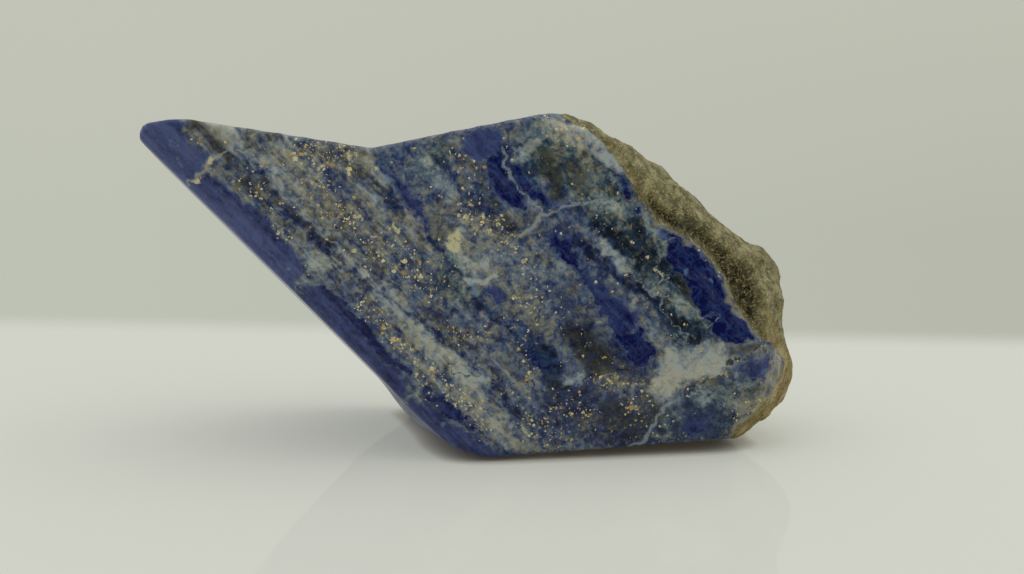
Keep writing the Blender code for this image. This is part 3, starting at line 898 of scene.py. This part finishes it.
rough = add(tree, "ShaderNodeMixRGB", {
    "Fac": gilt.outputs[0], "Color1": natural_colour.outputs[0], "Color2": linear(RIND_GOLD),
})
split = add(tree, "ShaderNodeSeparateXYZ", {0: swirled.outputs[0]})
bands = add(tree, "ShaderNodeCombineXYZ", {
    0: gather(0.0, (amounts["rind"], 1.5)), 1: gather(0.0, (split.outputs["Z"], 0.10)),
    2: gather(0.0, (split.outputs["X"], 0.10)),
})
bands = add(tree, "ShaderNodeTexNoise", {
    "Vector": bands.outputs[0], "Scale": 1.0, "Detail": 3.0, "Roughness": 0.7,
})
rusty = gather(-0.55, (bands.outputs["Fac"], 1.0), (pattern["crumb"], 0.5), (amounts["rust"], 0.30))
rusty = add(tree, "ShaderNodeMapRange", {
    "Value": rusty, "From Min": 0.25, "From Max": 0.50, "To Max": 0.50,
})
rough = add(tree, "ShaderNodeMixRGB", {
    "Fac": rusty.outputs[0], "Color1": rough.outputs[0], "Color2": linear(RIND_RUST),
})
banding = gather(-0.50, (bands.outputs["Fac"], 1.0), (pattern["fine"], 0.3))
banding = add(tree, "ShaderNodeMath", {0: banding, 1: amounts["rust"]}, operation="MULTIPLY")
banding = add(tree, "ShaderNodeMapRange", {
    "Value": banding.outputs[0], "From Min": 0.13, "From Max": 0.28, "To Max": 0.50,
})
border = gather(-0.84, (pattern["fine"], 0.6), (pattern["speck"], 1.1), (amounts["rind"], 1.0))
natural = add(tree, "ShaderNodeMapRange", {
    "Value": border, "From Min": -0.05, "From Max": 0.15,
}, interpolation_type="SMOOTHSTEP")
colour = add(tree, "ShaderNodeMixRGB", {
    "Fac": natural.outputs[0], "Color1": colour.outputs[0], "Color2": rough.outputs[0],
})
colour = add(tree, "ShaderNodeMixRGB", {
    "Fac": banding.outputs[0], "Color1": colour.outputs[0], "Color2": linear(RIND_CREAM),
})

# Satin polish, dull rind, metal grains. Cracks are a hair below the polish.
ground_share = add(tree, "ShaderNodeMath", {0: 1.0, 1: natural.outputs[0]}, operation="SUBTRACT")
metal = add(tree, "ShaderNodeMath", {
    0: grains.outputs[0], 1: ground_share.outputs[0],
}, operation="MULTIPLY")
metal = add(tree, "ShaderNodeMath", {0: metal.outputs[0], 1: PYRITE_METAL}, operation="MULTIPLY")
gloss = add(tree, "ShaderNodeMapRange", {
    "Value": natural.outputs[0], "To Min": POLISHED_ROUGHNESS, "To Max": RIND_ROUGHNESS,
})
relief = add(tree, "ShaderNodeMath", {0: pattern["crumb"], 1: natural.outputs[0]}, operation="MULTIPLY")
relief = add(tree, "ShaderNodeMath", {
    0: crack.outputs[0], 1: -0.4, 2: relief.outputs[0],
}, operation="MULTIPLY_ADD")
bump = add(tree, "ShaderNodeBump", {"Height": relief.outputs[0], "Strength": 0.7, "Distance": RELIEF_DEPTH})
slanted = add(tree, "ShaderNodeVectorMath", {
    0: slant.outputs[0], 1: (PYRITE_SLANT, PYRITE_SLANT, PYRITE_SLANT), 2: bump.outputs[0],
}, operation="MULTIPLY_ADD")
surface = add(tree, "ShaderNodeBsdfPrincipled", {
    "Base Color": colour.outputs[0], "Roughness": gloss.outputs[0], "Metallic": metal.outputs[0],
    "IOR": STONE_GLEAM, "Specular IOR Level": STONE_SPECULAR, "Normal": slanted.outputs[0],
})
add(tree, "ShaderNodeOutputMaterial", {"Surface": surface.outputs[0]})
skin.materials.clear()
skin.materials.append(polished)

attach(stone, "root")
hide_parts("lapis_stone")
